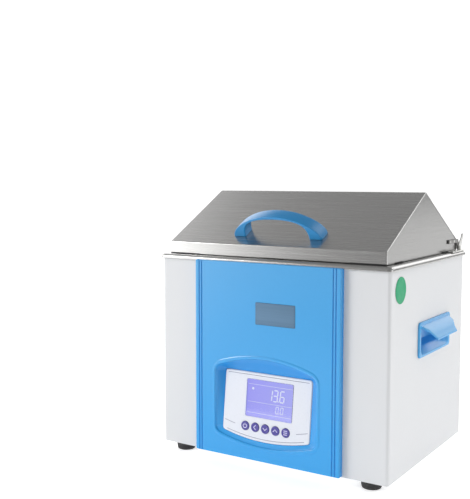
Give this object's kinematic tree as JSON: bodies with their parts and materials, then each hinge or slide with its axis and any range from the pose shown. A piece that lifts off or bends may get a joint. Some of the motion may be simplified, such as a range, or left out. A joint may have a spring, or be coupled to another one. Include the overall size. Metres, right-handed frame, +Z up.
{
  "type": "laboratory water bath",
  "caption": "Benchtop laboratory water bath: painted cabinet, stainless tank and deck, hinged gabled lid with a bow handle, blue front panel with display and keys, side grips and rear drain.",
  "frame": {"origin": "on the floor, under the middle of the whole bath's bounding box", "axes": "+X to the right of somebody facing the controls, +Y towards the back, +Z up; the front faces -Y"},
  "size_m": [0.436, 0.35, 0.4179],
  "materials": {
    "white_paint": "fine semi-gloss powder coat",
    "stainless": "brushed stainless sheet",
    "dark_steel": "dull steel",
    "blue_plastic": "satin moulded plastic",
    "white_plastic": "satin moulded plastic",
    "display": "backlit display",
    "clear_plastic": "clear polished window",
    "button_plastic": "satin keycap",
    "circuit_board": "solder mask",
    "badge": "brushed and tinted, blank",
    "green_label": "plain printed film",
    "black_rubber": "matt rubber",
    "black_plastic": "fine moulded",
    "glass_wool": "fibrous wool",
    "brass": "machined",
    "copper": "drawn and wound copper",
    "red_plastic": "dipped vinyl sleeve"
  },
  "bodies": {
    "cabinet": {"cabinet_shell": "white_paint", "base_plate": "white_paint", "rear_panel": "white_paint", "deck_rim": "stainless", "tank": "stainless", "heater_element": "stainless", "temperature_sensor": "stainless", "hinge_bracket_right": "stainless", "hinge_bracket_left": "stainless", "hinge_pin_right": "dark_steel", "hinge_pin_left": "dark_steel", "rear_screw_1": "dark_steel", "rear_screw_2": "dark_steel", "rear_screw_3": "dark_steel", "rear_screw_4": "dark_steel", "front_panel": "blue_plastic", "side_grip_right": "blue_plastic", "side_grip_left": "blue_plastic", "control_bezel": "white_plastic", "display_module": "display", "display_window": "clear_plastic", "control_board": "circuit_board", "relay_board": "circuit_board", "nameplate": "badge", "side_label": "green_label", "foot_front_left": "black_rubber", "foot_front_right": "black_rubber", "foot_rear_left": "black_rubber", "foot_rear_right": "black_rubber", "cut_out_thermostat": "black_plastic", "mains_inlet": "black_plastic", "switch_housing": "black_plastic", "tank_insulation": "glass_wool", "heater_nut_front": "brass", "heater_nut_rear": "brass", "sensor_nut": "brass", "drain_valve": "brass", "transformer": "copper", "drain_pipe": "copper"},
    "lid": {"lid_shell": "stainless", "lid_handle": "blue_plastic", "lid_handle_screw_left": "dark_steel", "lid_handle_screw_right": "dark_steel", "hinge_strap_right": "dark_steel", "hinge_strap_left": "dark_steel", "lid_bumper_front_right": "black_rubber", "lid_bumper_front_left": "black_rubber", "lid_bumper_side_right": "black_rubber", "lid_bumper_side_left": "black_rubber", "lid_bumper_rear_right": "black_rubber", "lid_bumper_rear_left": "black_rubber"},
    "shelf": {"perforated_shelf": "stainless"},
    "rocker": {"power_rocker": "black_plastic"},
    "valve_lever": {"drain_lever": "red_plastic"},
    "button_power": {"button_power": "button_plastic"},
    "button_back": {"button_back": "button_plastic"},
    "button_down": {"button_down": "button_plastic"},
    "button_up": {"button_up": "button_plastic"},
    "button_set": {"button_set": "button_plastic"}
  },
  "joints": [
    {"name": "lid_hinge", "type": "hinge", "parent": "cabinet", "child": "lid", "pos_m": [0, 0.142, 0.3245], "axis": [-1, 0, 0], "range_deg": [0, 95]},
    {"name": "shelf_lift", "type": "slide", "parent": "cabinet", "child": "shelf", "axis": [0, 0, 1], "range_m": [0, 0.15]},
    {"name": "rocker_tilt", "type": "hinge", "parent": "cabinet", "child": "rocker", "pos_m": [-0.07, 0.1468, 0.074], "axis": [-1, 0, 0], "range_deg": [0, 16]},
    {"name": "drain_lever_turn", "type": "hinge", "parent": "cabinet", "child": "valve_lever", "pos_m": [0.11, 0.159, 0.12], "axis": [0, 0, -1], "range_deg": [0, 90]},
    {"name": "button_power_press", "type": "slide", "parent": "cabinet", "child": "button_power", "axis": [0, 0.9943, -0.1062], "range_m": [0, 0.001], "stiffness_N_per_m": 800, "springref_m": -0.001},
    {"name": "button_back_press", "type": "slide", "parent": "cabinet", "child": "button_back", "axis": [0, 0.9943, -0.1062], "range_m": [0, 0.001], "stiffness_N_per_m": 800, "springref_m": -0.001},
    {"name": "button_down_press", "type": "slide", "parent": "cabinet", "child": "button_down", "axis": [0, 0.9943, -0.1062], "range_m": [0, 0.001], "stiffness_N_per_m": 800, "springref_m": -0.001},
    {"name": "button_up_press", "type": "slide", "parent": "cabinet", "child": "button_up", "axis": [0, 0.9943, -0.1062], "range_m": [0, 0.001], "stiffness_N_per_m": 800, "springref_m": -0.001},
    {"name": "button_set_press", "type": "slide", "parent": "cabinet", "child": "button_set", "axis": [0, 0.9943, -0.1062], "range_m": [0, 0.001], "stiffness_N_per_m": 800, "springref_m": -0.001}
  ]
}
